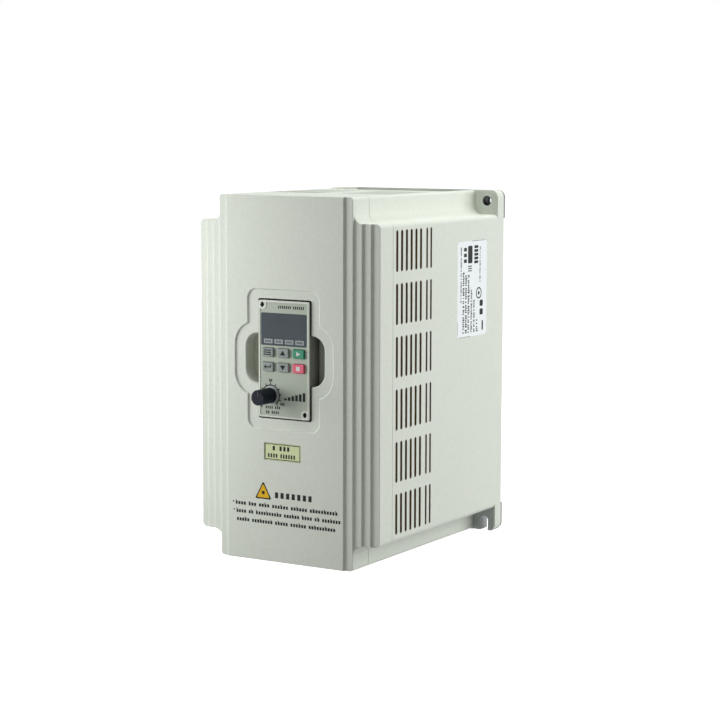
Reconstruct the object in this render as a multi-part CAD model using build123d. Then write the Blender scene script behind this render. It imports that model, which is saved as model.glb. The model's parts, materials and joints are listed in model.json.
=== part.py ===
from build123d import *

import math
import os

# A wall-mounted variable frequency drive with a pull-off front cover and keypad.
# Frame: +X to the user's right, +Y towards the wall, +Z up. The origin is the centre of the
# bottom of the whole object's box. All sizes are in millimetres.

# ---- overall size ----
WIDTH = 150.0
HEIGHT = 260.2
CASE_DEPTH = 190.0
KEYPAD_PROUD = 0.6
KNOB_LENGTH = 16.4
TOTAL_DEPTH = CASE_DEPTH + KEYPAD_PROUD + KNOB_LENGTH
BACK = TOTAL_DEPTH / 2
FRONT = BACK - CASE_DEPTH
MID_Z = HEIGHT / 2

# ---- case section: a tall middle block with a lower wing on each side ----
BLOCK_HALF = 55.65
NOTCH = 18.1
NOTCH_RADIUS = 6.4
WING_RADIUS = 3.3
BLOCK_RADIUS = 2.5
WALL = 2.5
FIT = 0.3
SEAM_Y = FRONT + 22.5
FLANGE_Y = BACK - 11.6
TAB = 1.9
PLASTIC_END = BACK - TAB
FLANGE_RADIUS = 5.5

# ---- wall fixings ----
HOLE_X = 65.6
HOLE_TOP_Z = 252.25
HOLE_LOW_Z = 7.95
HOLE_RADIUS = 3.25
SLEEVE_RADIUS = 3.75

# ---- front cover: a flat panel with stepped strips down each side ----
PANEL_HALF = 48.9
STEP_DROP = 1.36
STEP_HALVES = [BLOCK_HALF, 62.1, 68.5, WIDTH / 2]
EDGE_RADIUS = 0.5
COVER_WALL = 2.2
SEAM_GROOVE = 0.45
FRAME_DEPTH = 1.0

# ---- side vents ----
VENT_LENGTH = 28.9
VENT_WIDTH = 3.0
VENT_NARROW = 2.4
VENT_ROWS = 6
VENT_PITCH_Z = 36.9
VENT_FIRST_Y = FRONT + 28.3
VENT_PITCH_Y = 6.65
VENT_COLUMNS = [(VENT_FIRST_Y + VENT_PITCH_Y * i, VENT_WIDTH) for i in range(6)]
VENT_COLUMNS += [(FRONT + 70.3, VENT_NARROW), (FRONT + 76.2, VENT_NARROW)]

# ---- top vents ----
TOP_SLOT_LENGTH = 44.0
TOP_SLOT_WIDTH = 2.5
TOP_SLOT_X = 30.0
TOP_SLOT_FIRST_Y = FRONT + 59.0
TOP_SLOT_PITCH = 7.0
TOP_SLOT_ROWS = 9

# ---- heatsink and fans ----
BASE_Y = BACK - 62.0
BASE_THICK = 8.0
FIN_Y = BASE_Y + BASE_THICK
FIN_PITCH = 7.2
FIN_THICK = 1.8
FIN_SIDE_COUNT = 9
FIN_LOW_Z = 8.0
FIN_TOP_Z = 226.0
RAIL_IN = 69.0
RAIL_OUT = WIDTH / 2 - WALL - FIT
FAN_SIZE = 50.0
FAN_DEPTH = 15.0
FAN_X = 27.0
FAN_Y = (FIN_Y + PLASTIC_END) / 2
FAN_HOLE_PITCH = 20.0
FAN_BORE = 23.0
SHELF_Z = 244.0
SHELF_THICK = 2.5
WELL_HALF = 52.0
WELL_FRONT = FIN_Y + 1.8
WELL_BACK = PLASTIC_END - 1.9
FAN_LOW_Z = SHELF_Z - FAN_DEPTH
GUARD_WIRE = 0.8
GUARD_Z = SHELF_Z + SHELF_THICK + GUARD_WIRE

# ---- bottom wiring plate ----
WIRE_OPEN_HALF = 46.0
WIRE_OPEN_FRONT = FRONT + 44.5
WIRE_OPEN_BACK = FRONT + 104.5
WIRE_PLATE_THICK = 1.5
CABLE_X = [-30.0, 0.0, 30.0]
CABLE_Y = (WIRE_OPEN_FRONT + WIRE_OPEN_BACK) / 2
CABLE_RADIUS = 10.0
GROMMET_NECK = 11.5
GROMMET_LIP = 13.5

# ---- circuit boards ----
BOARD_THICK = 1.6
POWER_BOARD_Y = BASE_Y - 14.1
POWER_FACE = POWER_BOARD_Y
POWER_BACK = POWER_BOARD_Y + BOARD_THICK
STANDOFFS = [(x, z) for x in (-60.0, 60.0) for z in (40.0, 132.0, 224.0)]
MODULE_SCREWS = [(-43.0, 122.0), (43.0, 122.0), (-28.0, 74.0), (28.0, 74.0)]
CASE_SCREWS = [(x, z) for x in (-65.0, 65.0) for z in (27.5, 232.5)]
TRAY_POSTS = [(x, z) for x in (-59.0, 59.0) for z in (92.0, 215.0)]
TRAY_Y = FRONT + 32.5
TRAY_THICK = 2.0
CONTROL_Y = FRONT + 28.5
CONTROL_BACK = CONTROL_Y + BOARD_THICK
CONTROL_BOSSES = [(x, z) for x in (-48.0, 48.0) for z in (124.0, 220.0)]
CONTROL_CHIPS = [(-22, 170, 20, 20), (22, 175, 14, 9), (26, 156, 10, 10), (-26, 205, 12, 8)]

# ---- keypad ----
PAD_WIDTH = 42.4
PAD_HEIGHT = 83.0
PAD_Z = 145.3
PAD_FACE = FRONT - KEYPAD_PROUD
PAD_RIM = 1.3
PAD_SPLIT = PAD_FACE + 7.0
PAD_REAR = FRONT + 14.0
PAD_WALL = 1.5
PAD_GAP = 1.1
PLATE_FRONT = PAD_FACE + 0.7
PLATE_REAR = PAD_FACE + 2.0
OVERLAY_FRONT = PAD_FACE + 0.3
POCKET_DEPTH = 15.0
FINGER_DEPTH = 11.0
RECESS_HALF = 32.7
RECESS_HEIGHT = 35.5
RECESS_RADIUS = 10.0
RECESS_Z = 145.2
RECESS_BEVEL = 0.7
PAD_SCREWS = [(-17.7, 183.6), (17.7, 107.4)]
PAD_BOSS = 3.3
WINDOW_WIDTH = 38.0
WINDOW_HEIGHT = 23.0
WINDOW_Z = 166.5
KEY_X = [-12.8, 0.0, 12.8]
KEY_Z = [150.2, 139.9]
KEY_WIDTH = 9.2
KEY_HEIGHT = 6.2
KEY_GAP = 0.3
KEY_PROUD = 1.6
KEY_TRAVEL = 0.8
KEY_NAMES = [["mode_key", "up_key", "run_key"], ["enter_key", "down_key", "stop_key"]]
KNOB_X = -11.2
KNOB_Z = 119.5
KNOB_RADIUS = 5.5
KNOB_TIP = PAD_FACE - KNOB_LENGTH
SHAFT_RADIUS = 1.5
PAD_BOARD_Y = PAD_FACE + 8.5

# ---- inset plate on the front cover and label on the side ----
INSET_X = -1.8
INSET_Z = 79.3
INSET_WIDTH = 31.0
INSET_HEIGHT = 12.6
SIDE_LABEL_Y = (BACK - 74.2, BACK - 28.8)
SIDE_LABEL_Z = (153.8, 224.5)
LABEL_THICK = 0.3


# ---- helpers ----
def slab(outline, y_near, y_far):
    """Solid with an X-Z outline, from y_near at the front to y_far at the back."""
    return extrude(Plane.XZ.offset(-y_far) * outline, amount=y_far - y_near)


def block(x, y, z):
    """Box between the two ends given for each axis."""
    centre = Pos((x[0] + x[1]) / 2, (y[0] + y[1]) / 2, (z[0] + z[1]) / 2)
    return centre * Box(x[1] - x[0], y[1] - y[0], z[1] - z[0])


def disc(x, z, radius):
    return Pos(x, z) * Circle(radius)


def rounded(x, z, width, height, corner):
    return Pos(x, z) * RectangleRounded(width, height, corner)


def rod_y(x, z, radius, y_near, y_far):
    return slab(disc(x, z, radius), y_near, y_far)


def rod_z(x, y, radius, z_low, z_high):
    return Pos(x, y, (z_low + z_high) / 2) * Cylinder(radius, z_high - z_low)


def group(pieces):
    """Several separate solids kept in one node."""
    return Compound([solid for piece in pieces for solid in piece.solids()])


def screw_y(x, z, head_radius, head, shank_radius, shank_end):
    """Pan-head screw along Y with a cross recess; head is its two Y levels, front first."""
    body = rod_y(x, z, head_radius, head[0], head[1]) + rod_y(x, z, shank_radius, head[1], shank_end)
    body = fillet(body.edges().group_by(Axis.Y)[0], head_radius * 0.2)
    long = head_radius * 0.6
    cross = block((x - long, x + long), (head[0] - 1, head[0] + 0.9), (z - 0.35, z + 0.35))
    cross += block((x - 0.35, x + 0.35), (head[0] - 1, head[0] + 0.9), (z - long, z + long))
    return body - cross


def corners(sketch, radius, wanted):
    """Round the outline's corners for which wanted(x, z) is true."""
    picked = [v for v in sketch.vertices() if wanted(abs(v.X), v.Y)]
    return fillet(picked, radius)


def case_outline(inset):
    """Outline of the case section, moved inwards by inset."""
    tall = Pos(0, MID_Z) * Rectangle(2 * (BLOCK_HALF - inset), HEIGHT - 2 * inset)
    wide = Pos(0, MID_Z) * Rectangle(WIDTH - 2 * inset, HEIGHT - 2 * (NOTCH + inset))
    outline = tall + wide
    middle = (BLOCK_HALF + WIDTH / 2) / 2
    inner_z = abs(MID_Z - NOTCH - inset)
    outline = corners(outline, NOTCH_RADIUS, lambda x, z: x < middle and abs(z - MID_Z) < inner_z + 1)
    outline = corners(outline, max(WING_RADIUS - inset, 0.6), lambda x, z: x > WIDTH / 2 - inset - 0.1)
    top = HEIGHT / 2 - inset - 0.1
    return corners(outline, max(BLOCK_RADIUS - inset, 0.6), lambda x, z: abs(z - MID_Z) > top)


# ---- case body ----
def make_housing():
    shell = slab(case_outline(0), SEAM_Y, FLANGE_Y)
    shell += slab(rounded(0, MID_Z, WIDTH, HEIGHT, FLANGE_RADIUS), FLANGE_Y, PLASTIC_END)
    shell -= slab(case_outline(WALL), SEAM_Y - 1, BACK)
    shell -= seam_groove()
    shell += fan_shelf()
    shell -= block((-WELL_HALF, WELL_HALF), (WELL_FRONT, WELL_BACK), (SHELF_Z + SHELF_THICK, HEIGHT + 1))
    shell -= block((-WELL_HALF, WELL_HALF), (WELL_FRONT, WELL_BACK), (-1, WALL + 1))
    opening = (-WIRE_OPEN_HALF, WIRE_OPEN_HALF)
    shell -= block(opening, (WIRE_OPEN_FRONT, WIRE_OPEN_BACK), (-1, WALL + 1))
    for x, y in fan_hole_spots():
        shell -= rod_z(x, y, 2.15, SHELF_Z - 1, SHELF_Z + SHELF_THICK + 1)
    for x in (-FAN_X, FAN_X):
        shell -= rod_z(x, FAN_Y, FAN_BORE, SHELF_Z - 1, SHELF_Z + SHELF_THICK + 1)
    shell -= side_vents()
    shell -= top_vents()
    for side in (-1, 1):
        shell -= upper_hole(side)
        shell -= block(
            sorted((side * (BLOCK_HALF + 0.2), side * (WIDTH / 2 - 1.5))),
            (FLANGE_Y - 1, BACK),
            (-1, NOTCH),
        )
    for x, z in CASE_SCREWS:
        shell += case_screw_tab(x, z)
        shell -= rod_y(x, z, 2.2, BASE_Y - 5, BASE_Y)
    shell -= block((WIDTH / 2 - LABEL_THICK, WIDTH), SIDE_LABEL_Y, SIDE_LABEL_Z)
    return shell


def seam_groove():
    """Shadow line round the case where it meets the front cover."""
    ends = (SEAM_Y, SEAM_Y + SEAM_GROOVE)
    return slab(case_outline(0), *ends) - slab(case_outline(SEAM_GROOVE), *ends)


def fan_shelf():
    inside = BLOCK_HALF - WALL
    return block((-inside, inside), (FIN_Y + 0.3, PLASTIC_END), (SHELF_Z, HEIGHT - WALL / 2))


def fan_hole_spots():
    ends = (-FAN_HOLE_PITCH, FAN_HOLE_PITCH)
    return [(side * FAN_X + dx, FAN_Y + dy) for side in (-1, 1) for dx in ends for dy in ends]


def side_vents():
    slots = Sketch()
    first_z = MID_Z + 0.35 - VENT_PITCH_Z * (VENT_ROWS - 1) / 2
    for y, width in VENT_COLUMNS:
        for row in range(VENT_ROWS):
            slot = SlotOverall(VENT_LENGTH, width, rotation=90)
            slots += Pos(y, first_z + row * VENT_PITCH_Z) * slot
    return extrude(Plane.YZ * slots, amount=WIDTH, both=True)


def top_vents():
    slots = Sketch()
    for row in range(TOP_SLOT_ROWS):
        for side in (-1, 1):
            y = TOP_SLOT_FIRST_Y + row * TOP_SLOT_PITCH
            slots += Pos(side * TOP_SLOT_X, y) * SlotOverall(TOP_SLOT_LENGTH, TOP_SLOT_WIDTH)
    return extrude(Plane.XY.offset(HEIGHT - WALL - 1) * slots, amount=WALL + 2)


def upper_hole(side):
    x = side * HOLE_X
    hole = rod_y(x, HOLE_TOP_Z, SLEEVE_RADIUS, FLANGE_Y - 1, BACK)
    bevel = Rot(90, 0, 0) * Cone(SLEEVE_RADIUS - 0.6, SLEEVE_RADIUS + 0.7, 1.3)
    return hole + Pos(x, FLANGE_Y, HOLE_TOP_Z) * bevel


def case_screw_tab(x, z):
    wall_x = math.copysign(WIDTH / 2 - WALL + 0.5, x)
    near_x = math.copysign(abs(x) - 5, x)
    return block(sorted((near_x, wall_x)), (BASE_Y - 4, BASE_Y), (z - 5, z + 5))


def make_heatsink():
    sink = slab(case_outline(WALL + FIT), BASE_Y, FIN_Y)
    for i in range(-FIN_SIDE_COUNT, FIN_SIDE_COUNT + 1):
        x = i * FIN_PITCH
        low = FIN_LOW_Z if abs(x) < BLOCK_HALF - WALL - 2 else NOTCH + WALL + 0.5
        sink += block((x - FIN_THICK / 2, x + FIN_THICK / 2), (FIN_Y - 1, BACK), (low, FIN_TOP_Z))
    for side in (-1, 1):
        rail = sorted((side * RAIL_IN, side * RAIL_OUT))
        wing_low = NOTCH + WALL + 0.5
        sink += block(rail, (FIN_Y - 1, BACK), (wing_low, HEIGHT - wing_low))
        sink += lower_lug(side)
    sink += wall_tabs()
    for side in (-1, 1):
        sink -= rod_y(side * HOLE_X, HOLE_TOP_Z, HOLE_RADIUS, FLANGE_Y, BACK + 1)
        sink -= rod_y(side * HOLE_X, HOLE_LOW_Z, HOLE_RADIUS, FLANGE_Y - 1, BACK + 1)
        slot = sorted((side * (HOLE_X - HOLE_RADIUS), side * (HOLE_X + HOLE_RADIUS)))
        sink -= block(slot, (FLANGE_Y - 1, BACK + 1), (-1, HOLE_LOW_Z))
    for x, z in STANDOFFS:
        sink -= rod_y(x, z, 1.65, BASE_Y - 1, BASE_Y + 5)
    for x, z in MODULE_SCREWS + CASE_SCREWS:
        sink -= rod_y(x, z, 2.1, BASE_Y - 1, BASE_Y + 7)
    return sink


def wall_tabs():
    """Thin plates that reach the corners behind the plastic, cut from one rounded outline."""
    full = rounded(0, MID_Z, WIDTH, HEIGHT, FLANGE_RADIUS)
    plate = slab(full, PLASTIC_END, BACK)
    keep = None
    for side in (-1, 1):
        for z in ((0, 21.0), (HEIGHT - 21.0, HEIGHT)):
            ear = block(sorted((side * 50.0, side * WIDTH / 2)), (PLASTIC_END, BACK), z)
            keep = ear if keep is None else keep + ear
        for z in ((20.0, 46.0), (HEIGHT - 46.0, HEIGHT - 20.0)):
            keep += block(sorted((side * 60.0, side * RAIL_OUT)), (PLASTIC_END, BACK), z)
    return plate & keep


def lower_lug(side):
    inner = BLOCK_HALF + 0.4
    outer = WIDTH / 2 - 1.7
    width = outer - inner
    outline = rounded(side * (inner + outer) / 2, NOTCH / 2, width, NOTCH - 0.3, 2.0)
    return slab(outline, FLANGE_Y + 0.2, BACK - 0.5)


def make_fan_frames():
    return group([fan_frame(-FAN_X), fan_frame(FAN_X)])


def fan_frame(x):
    half = FAN_SIZE / 2
    frame = Pos(x, FAN_Y, FAN_LOW_Z + FAN_DEPTH / 2) * Box(FAN_SIZE, FAN_SIZE, FAN_DEPTH)
    frame = fillet(frame.edges().filter_by(Axis.Z), 3.0)
    frame -= rod_z(x, FAN_Y, FAN_BORE, FAN_LOW_Z - 1, SHELF_Z + 1)
    reach = half + 1
    waist_x = (x - reach, x + reach)
    waist = block(waist_x, (FAN_Y - reach, FAN_Y + reach), (FAN_LOW_Z + 3, SHELF_Z - 3))
    waist -= rod_z(x, FAN_Y, FAN_BORE + 1.6, FAN_LOW_Z, SHELF_Z)
    for dx in (-1, 1):
        for dy in (-1, 1):
            spot = (x + dx * FAN_HOLE_PITCH, FAN_Y + dy * FAN_HOLE_PITCH)
            waist -= rod_z(spot[0], spot[1], 4.0, FAN_LOW_Z, SHELF_Z)
    frame -= waist
    for angle in (30, 150, 270):
        strut = Pos(14.0, 0, 0) * Box(20.0, 3.0, 1.6)
        frame += Pos(x, FAN_Y, FAN_LOW_Z + 0.8) * Rot(0, 0, angle) * strut
    frame += rod_z(x, FAN_Y, 9.5, FAN_LOW_Z, FAN_LOW_Z + 1.6)
    frame += rod_z(x, FAN_Y, SHAFT_RADIUS, FAN_LOW_Z, FAN_LOW_Z + 9)
    for dx in (-FAN_HOLE_PITCH, FAN_HOLE_PITCH):
        for dy in (-FAN_HOLE_PITCH, FAN_HOLE_PITCH):
            frame -= rod_z(x + dx, FAN_Y + dy, 2.15, FAN_LOW_Z - 1, SHELF_Z + 1)
    return frame


def make_impeller(x):
    low = FAN_LOW_Z + 2.0
    high = SHELF_Z - 1.5
    hub = fillet(rod_z(0, 0, 10.0, low, high).edges().group_by(Axis.Z)[-1], 1.0)
    for i in range(7):
        blade = Pos(15.4, 0, (low + high) / 2) * Rot(38, 0, 0) * Box(13.0, 1.3, 11.5)
        hub += Rot(0, 0, i * 360 / 7) * blade
    hub &= rod_z(0, 0, FAN_BORE - 1.0, low, high)
    hub -= rod_z(0, 0, SHAFT_RADIUS + 0.06, low - 1, FAN_LOW_Z + 9.3)
    return Pos(x, FAN_Y, 0) * hub


def make_fan_guards():
    return group([fan_guard(-FAN_X), fan_guard(FAN_X)])


def fan_guard(x):
    guard = Pos(x, FAN_Y, GUARD_Z) * Torus(22.0, GUARD_WIRE)
    for radius in (16.5, 11.0, 5.5):
        guard += Pos(x, FAN_Y, GUARD_Z) * Torus(radius, GUARD_WIRE)
    reach = 2 * (FAN_HOLE_PITCH * math.sqrt(2) - 3.0)
    for angle in (45, 135):
        guard += Pos(x, FAN_Y, GUARD_Z) * Rot(0, 0, angle) * Rot(0, 90, 0) * Cylinder(GUARD_WIRE, reach)
    for dx in (-FAN_HOLE_PITCH, FAN_HOLE_PITCH):
        for dy in (-FAN_HOLE_PITCH, FAN_HOLE_PITCH):
            guard += Pos(x + dx, FAN_Y + dy, GUARD_Z) * Torus(3.0, GUARD_WIRE)
    return guard


def make_fan_screws():
    top = GUARD_Z + GUARD_WIRE
    screws = []
    for x, y in fan_hole_spots():
        head = fillet(rod_z(x, y, 3.5, top, top + 2.3).edges().group_by(Axis.Z)[-1], 0.8)
        cross = block((x - 2, x + 2), (y - 0.35, y + 0.35), (top + 1.2, top + 3))
        cross += block((x - 0.35, x + 0.35), (y - 2, y + 2), (top + 1.2, top + 3))
        screws.append(head + rod_z(x, y, 1.9, FAN_LOW_Z - 1.5, top) - cross)
    return group(screws)


def make_bottom_plate():
    x = (-WIRE_OPEN_HALF - 4, WIRE_OPEN_HALF + 4)
    y = (WIRE_OPEN_FRONT - 4, WIRE_OPEN_BACK + 4)
    plate = block(x, y, (WALL, WALL + WIRE_PLATE_THICK))
    for hole_x in CABLE_X:
        plate -= rod_z(hole_x, CABLE_Y, GROMMET_NECK, 0, 10)
    return plate


def make_grommets():
    rings = []
    low = WALL - 1.5
    high = WALL + WIRE_PLATE_THICK + 1.5
    for x in CABLE_X:
        ring = rod_z(x, CABLE_Y, GROMMET_LIP, low, high)
        groove = rod_z(x, CABLE_Y, GROMMET_LIP + 1, WALL, WALL + WIRE_PLATE_THICK)
        ring -= groove - rod_z(x, CABLE_Y, GROMMET_NECK, 0, 10)
        rings.append(ring - rod_z(x, CABLE_Y, CABLE_RADIUS, 0, 10))
    return group(rings)


def make_side_label():
    half = WIDTH / 2
    label = block((half - LABEL_THICK, half), SIDE_LABEL_Y, SIDE_LABEL_Z)
    return fillet(label.edges().filter_by(Axis.X), 2.0)


def make_housing_screws():
    head = (BASE_Y - 6.5, BASE_Y - 4)
    return group([screw_y(x, z, 3.8, head, 2.0, BASE_Y + 6) for x, z in CASE_SCREWS])


# ---- power electronics ----
def make_power_module():
    module = block((-38, 38), (POWER_BACK, BASE_Y - 0.5), (100, 144))
    module += block((-49, 49), (BASE_Y - 6.5, BASE_Y - 0.5), (108, 136))
    module = fillet(module.edges().filter_by(Axis.Y), 1.0)
    for x, z in MODULE_SCREWS[:2]:
        module -= rod_y(x, z, 2.6, POWER_BACK, BASE_Y)
    return module


def make_rectifier_module():
    module = block((-22, 22), (POWER_BACK, BASE_Y - 0.5), (62, 86))
    module += block((-34, 34), (BASE_Y - 6.5, BASE_Y - 0.5), (66, 82))
    module = fillet(module.edges().filter_by(Axis.Y), 1.0)
    for x, z in MODULE_SCREWS[2:]:
        module -= rod_y(x, z, 2.6, POWER_BACK, BASE_Y)
    return module


def make_thermal_pads():
    pads = [block((-49, 49), (BASE_Y - 0.5, BASE_Y), (102, 142))]
    pads.append(block((-34, 34), (BASE_Y - 0.5, BASE_Y), (64, 84)))
    holes = [rod_y(x, z, 2.6, BASE_Y - 1, BASE_Y + 1) for x, z in MODULE_SCREWS]
    return group([pad - holes for pad in pads])


def make_module_screws():
    head = (BASE_Y - 9.3, BASE_Y - 6.5)
    return group([screw_y(x, z, 3.6, head, 2.0, BASE_Y + 6) for x, z in MODULE_SCREWS])


def make_standoffs():
    posts = []
    for x, z in STANDOFFS:
        post = slab(Pos(x, z) * RegularPolygon(3.4, 6), POWER_BACK, BASE_Y)
        posts.append(post - rod_y(x, z, 1.6, POWER_BACK - 1, BASE_Y + 1))
    return group(posts)


def make_power_board():
    board = slab(rounded(0, 132, 130, 200, 2), POWER_FACE, POWER_BACK)
    for x, z in STANDOFFS:
        board -= rod_y(x, z, 1.6, POWER_FACE - 1, POWER_BACK + 1)
    return board


def make_board_screws():
    head = (POWER_FACE - 2.2, POWER_FACE)
    return group([screw_y(x, z, 2.8, head, 1.5, BASE_Y - 1) for x, z in STANDOFFS])


def make_bus_capacitors():
    cans = []
    for x in (-51.0, -17.0, 17.0, 51.0):
        can = rod_y(x, 194, 15, POWER_FACE - 50, POWER_FACE)
        can = fillet(can.edges().group_by(Axis.Y)[0], 1.5)
        groove = rod_y(x, 194, 16, POWER_FACE - 6, POWER_FACE - 4)
        cans.append(can - (groove - rod_y(x, 194, 14.2, POWER_FACE - 7, POWER_FACE - 3)))
    return group(cans)


def make_relay():
    relay = block((-50, -30), (POWER_FACE - 16, POWER_FACE), (66, 90))
    return fillet(relay.edges().group_by(Axis.Y)[0], 0.8)


def make_filter_choke():
    ring = Pos(0, POWER_FACE - 7, 80) * Rot(90, 0, 0) * Torus(12.0, 6.0)
    return ring + block((-14, 14), (POWER_FACE - 2, POWER_FACE), (64, 96))


def make_film_capacitors():
    cases = [block((28, 54), (POWER_FACE - 17, POWER_FACE), (z, z + 10)) for z in (66, 80)]
    return group([fillet(case.edges().group_by(Axis.Y)[0], 0.8) for case in cases])


def make_varistors():
    discs = []
    for x in (26.0, 36.0, 46.0):
        body = Pos(x, POWER_FACE - 8.5, 107) * Rot(0, 90, 0) * Cylinder(7.0, 4.5)
        discs.append(body + block((x - 1, x + 1), (POWER_FACE - 2.5, POWER_FACE), (103, 111)))
    return group(discs)


def make_transformer():
    bobbin = block((-48, -18), (POWER_FACE - 24, POWER_FACE), (110, 136))
    core = block((-42, -24), (POWER_FACE - 28, POWER_FACE - 2), (106, 140))
    return bobbin + core


def make_current_sensors():
    sensors = []
    for x in (8.0, 27.0, 46.0):
        body = block((x - 8, x + 8), (POWER_FACE - 18, POWER_FACE), (126, 150))
        sensors.append(body - rod_y(x, 138, 4.5, POWER_FACE - 19, POWER_FACE - 2))
    return group(sensors)


def make_power_terminals():
    front = POWER_FACE - 20
    body = block((-60, 60), (front + 6, POWER_FACE), (48, 62))
    for i in range(11):
        x = -60 + 12 * i
        wall = sorted((min(max(x - 1, -60), 58), min(max(x - 1, -60), 58) + 2))
        body += block(wall, (front, POWER_FACE), (44, 62))
    for x in terminal_spots():
        body -= rod_y(x, 54, 2.1, front, POWER_FACE - 3)
    return body


def terminal_spots():
    return [-54.0 + 12 * i for i in range(10)]


def make_power_terminal_screws():
    head = (POWER_FACE - 17, POWER_FACE - 14)
    return group([screw_y(x, 54, 3.8, head, 2.0, POWER_FACE - 4) for x in terminal_spots()])


def make_board_tray():
    tray = slab(rounded(0, 156, 126, 144, 3), TRAY_Y, TRAY_Y + TRAY_THICK)
    tray -= block((-52, -20), (TRAY_Y - 1, TRAY_Y + 4), (80, 106))
    for x, z in TRAY_POSTS:
        tray += rod_y(x, z, 4.0, TRAY_Y, POWER_FACE)
    for x, z in CONTROL_BOSSES:
        tray += rod_y(x, z, 3.5, CONTROL_BACK, TRAY_Y + 1)
        tray -= rod_y(x, z, 1.3, CONTROL_BACK - 1, TRAY_Y + 3)
    return tray


def make_control_board():
    board = slab(rounded(0, 166, 104, 120, 2), CONTROL_Y, CONTROL_BACK)
    for x, z in CONTROL_BOSSES:
        board -= rod_y(x, z, 1.6, CONTROL_Y - 1, CONTROL_BACK + 1)
    return board


def make_control_screws():
    head = (CONTROL_Y - 2, CONTROL_Y)
    return group([screw_y(x, z, 2.6, head, 1.2, TRAY_Y + 1.5) for x, z in CONTROL_BOSSES])


def make_control_chips():
    chips = []
    for x, z, width, height in CONTROL_CHIPS:
        chip = slab(Pos(x, z) * Rectangle(width, height), CONTROL_Y - 1.8, CONTROL_Y)
        chips.append(fillet(chip.edges().group_by(Axis.Y)[0], 0.3))
    return group(chips)


def make_control_terminals():
    body = block((-14, 50), (CONTROL_Y - 9, CONTROL_Y), (107, 118))
    for x in control_spots():
        body -= rod_y(x, 114, 1.9, CONTROL_Y - 10, CONTROL_Y - 4)
        body -= block((x - 1.8, x + 1.8), (CONTROL_Y - 7, CONTROL_Y - 2), (106, 112))
    return body


def control_spots():
    return [-10.8 + 5.1 * i for i in range(12)]


def make_control_terminal_screws():
    head = (CONTROL_Y - 7.5, CONTROL_Y - 5)
    screws = []
    for x in control_spots():
        body = rod_y(x, 114, 1.7, head[0], CONTROL_Y - 4)
        screws.append(body - block((x - 2, x + 2), (head[0] - 1, head[0] + 0.8), (113.7, 114.3)))
    return group(screws)


def make_keypad_socket():
    socket = block((-11, 11), (CONTROL_Y - 10.5, CONTROL_Y), (PAD_Z - 5, PAD_Z + 5))
    return socket - block((-9, 9), (CONTROL_Y - 12, CONTROL_Y - 1.5), (PAD_Z - 3, PAD_Z + 3))


def make_ribbon_cable():
    front_plug = block((-50, -24), (CONTROL_Y - 7, CONTROL_Y), (107, 114))
    rear_plug = block((-50, -24), (POWER_FACE - 8, POWER_FACE), (93, 101))
    path = Polyline((CONTROL_Y - 3, 107), (CONTROL_Y - 3, 97), (POWER_FACE - 8, 97))
    path = fillet(path.vertices()[1], 5)
    strip = Plane.YZ * offset(path, 0.5, kind=Kind.ARC, side=Side.BOTH)
    cable = extrude(make_face(strip.edges()), amount=13, both=True)
    cable = Pos(-37, 0, 0) * cable
    cable &= block((-60, 0), (CONTROL_Y - 5, POWER_FACE - 8), (90, 107))
    return group([front_plug, rear_plug, cable])


# ---- front cover body ----
def step_level(outline, drop):
    """One level of the stepped front, rounded along its front edge."""
    solid = slab(outline, FRONT + drop, SEAM_Y)
    return fillet(solid.edges().group_by(Axis.Y)[0], EDGE_RADIUS)


def pad_outline():
    return rounded(0, PAD_Z, PAD_WIDTH + 2 * PAD_GAP, PAD_HEIGHT + 2 * PAD_GAP, 1.6)


def recess_outline(grow):
    return rounded(0, RECESS_Z, 2 * (RECESS_HALF + grow), RECESS_HEIGHT + 2 * grow, RECESS_RADIUS + grow)


def make_front_cover():
    tall = Pos(0, MID_Z) * Rectangle(2 * PANEL_HALF, HEIGHT)
    shell = step_level(tall, 0)
    shell += step_level(rounded(0, MID_Z, 2 * STEP_HALVES[0], HEIGHT, BLOCK_RADIUS), STEP_DROP)
    block_rect = Pos(0, MID_Z) * Rectangle(2 * BLOCK_HALF, HEIGHT)
    wing_height = HEIGHT - 2 * NOTCH
    inner_wing = block_rect + Pos(0, MID_Z) * Rectangle(2 * STEP_HALVES[1], wing_height)
    near_notch = HEIGHT / 2 - NOTCH / 2
    inner_wing = corners(
        inner_wing, NOTCH_RADIUS - 0.05, lambda x, z: x < BLOCK_HALF + 1 and abs(z - MID_Z) < near_notch
    )
    inner_wing = corners(inner_wing, BLOCK_RADIUS, lambda x, z: abs(z - MID_Z) > near_notch)
    shell += step_level(inner_wing, 2 * STEP_DROP)
    shell += step_level(Pos(0, MID_Z) * Rectangle(2 * STEP_HALVES[2], wing_height), 3 * STEP_DROP)
    shell += step_level(rounded(0, MID_Z, WIDTH, wing_height, WING_RADIUS), 4 * STEP_DROP)
    hollow = Pos(0, MID_Z) * Rectangle(2 * PANEL_HALF - 4, HEIGHT - 2 * COVER_WALL)
    shell -= slab(hollow, FRONT + 2.5, SEAM_Y + 1)
    shell -= slab(case_outline(COVER_WALL), FRONT + 4 * STEP_DROP + COVER_WALL, SEAM_Y + 1)
    shell += cover_tongue()
    shell += slab(pad_outline_grown() + recess_outline(2.0), FRONT + 1.2, FRONT + POCKET_DEPTH + 2)
    shell -= slab(pad_outline(), FRONT - 1, FRONT + POCKET_DEPTH)
    shell -= slab(recess_outline(0), FRONT - 1, FRONT + FINGER_DEPTH)
    shell -= block((-12.5, 12.5), (FRONT, FRONT + POCKET_DEPTH + 3), (PAD_Z - 6.5, PAD_Z + 6.5))
    shell -= frame_recess()
    level = Plane.XZ.offset(-FRONT - FRAME_DEPTH)
    shell -= extrude(level * recess_outline(RECESS_BEVEL), amount=-RECESS_BEVEL, taper=45)
    shell -= slab(rounded(INSET_X, INSET_Z, INSET_WIDTH, INSET_HEIGHT, 0.8), FRONT - 1, FRONT + 0.8)
    return shell


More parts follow.
